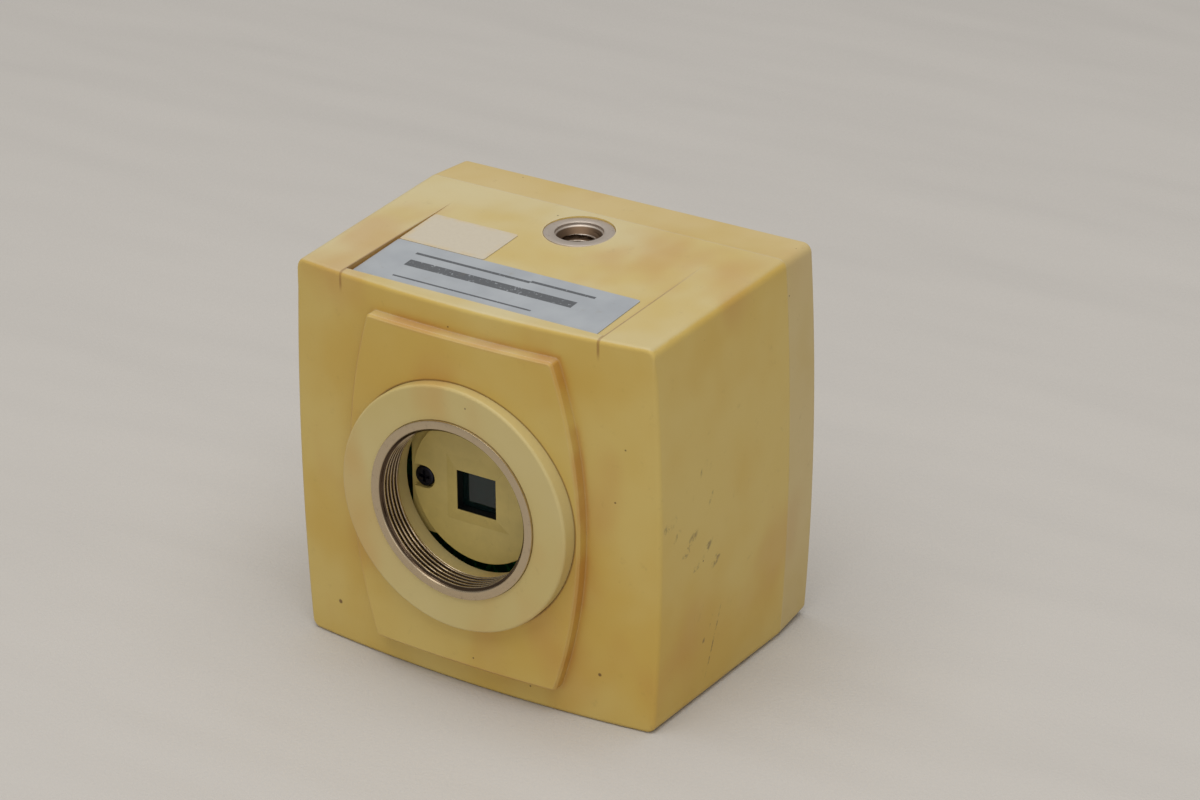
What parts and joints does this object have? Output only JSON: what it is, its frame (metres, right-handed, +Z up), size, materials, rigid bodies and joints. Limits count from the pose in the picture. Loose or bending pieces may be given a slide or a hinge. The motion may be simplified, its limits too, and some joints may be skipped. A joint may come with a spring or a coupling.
{
  "type": "box video camera with a c/cs lens mount",
  "caption": "Compact box video camera: moulded case, screw-in metal lens ring, tripod bush, sensor behind a mask, board stack and rear connector panel.",
  "frame": {"origin": "under the middle of the whole camera, on the surface it stands on", "axes": "+Z up, -Y the way the lens looks, +Y towards the connector panel, +X to the right of a viewer facing the lens mount"},
  "size_m": [0.0654, 0.0624, 0.0625],
  "materials": {
    "case_plastic": "yellowed moulded plastic, fine satin texture",
    "cover_plastic": "slightly less yellowed moulded plastic",
    "ring_plastic": "cream moulded plastic, turned matt face",
    "mask_plastic": "cream moulded plastic",
    "black_plastic": "moulded black plastic",
    "white_plastic": "white insulator",
    "blue_plastic": "blue moulded plastic",
    "ring_metal": "machined, fine turning marks",
    "bush_metal": "plated, satin",
    "screw_steel": "zinc plated",
    "dark_screw": "black oxide",
    "nickel": "nickel plated",
    "brass": "bare",
    "copper": "enamelled wire",
    "ferrite": "ferrite",
    "rubber": "black rubber",
    "filter_glass": "blue-green absorbing glass",
    "clear_glass": "clear cover glass",
    "ceramic": "grey ceramic",
    "silicon": "polished silicon",
    "laminate": "green solder-masked laminate",
    "capacitor_sleeve": "sleeved aluminium can",
    "red_lamp": "red tinted resin",
    "label_foil": "matt silver label stock",
    "sticker_paper": "aged white paper"
  },
  "bodies": {
    "camera_body": {"front_housing": "case_plastic", "rear_cover": "cover_plastic", "case_screws": "screw_steel", "mount_ring": "ring_plastic", "mount_ring_screws": "screw_steel", "sensor_mask": "mask_plastic", "sensor_holder": "mask_plastic", "mask_screws": "dark_screw", "holder_nuts": "brass", "infrared_filter": "filter_glass", "filter_gasket": "rubber", "sensor_package": "ceramic", "sensor_glass": "clear_glass", "sensor_chip": "silicon", "sensor_pins": "nickel", "sensor_board": "laminate", "video_board": "laminate", "control_board": "laminate", "front_standoffs": "brass", "rear_standoffs": "brass", "board_screws": "screw_steel", "front_header": "black_plastic", "front_header_pins": "nickel", "rear_header": "black_plastic", "rear_header_pins": "nickel", "driver_chips": "black_plastic", "processor_chip": "black_plastic", "processor_leads": "nickel", "crystal_can": "nickel", "capacitors": "capacitor_sleeve", "coil_core": "ferrite", "coil_winding": "copper", "tripod_bush": "bush_metal", "rating_label": "label_foil", "small_sticker": "sticker_paper", "video_socket_shell": "nickel", "video_socket_insulator": "white_plastic", "video_socket_contact": "brass", "video_socket_washer": "nickel", "video_socket_nut": "nickel", "power_jack": "black_plastic", "power_jack_pin": "nickel", "power_jack_nut": "nickel", "trimmer_body": "blue_plastic", "power_lamp": "red_lamp", "gain_switch_body": "black_plastic", "shutter_switch_body": "black_plastic"},
    "focus_carrier": {"focus_o_ring": "rubber"},
    "focus_ring": {"c_mount_ring": "ring_metal"},
    "gain_lever": {"gain_switch_lever": "white_plastic"},
    "shutter_lever": {"shutter_switch_lever": "white_plastic"},
    "level_rotor": {"trimmer_rotor": "white_plastic"}
  },
  "joints": [
    {"name": "focus_travel", "type": "slide", "parent": "camera_body", "child": "focus_carrier", "axis": [0, 1, 0], "range_m": [-0.0004, 0.0004]},
    {"name": "focus_turn", "type": "hinge", "parent": "focus_carrier", "child": "focus_ring", "pos_m": [0, -0.02885, 0.0309], "axis": [0, 1, 0], "range_deg": [-180, 180]},
    {"name": "gain_switch_slide", "type": "slide", "parent": "camera_body", "child": "gain_lever", "axis": [1, 0, 0], "range_m": [0, 0.002]},
    {"name": "shutter_switch_slide", "type": "slide", "parent": "camera_body", "child": "shutter_lever", "axis": [1, 0, 0], "range_m": [0, 0.002]},
    {"name": "level_trimmer_turn", "type": "hinge", "parent": "camera_body", "child": "level_rotor", "pos_m": [0.008, 0.01515, 0.02], "axis": [0, 1, 0], "range_deg": [-130, 130]}
  ],
  "couplings": [
    {"joint": "focus_travel", "follows": "focus_turn", "m_per_rad": 0.00012633}
  ]
}
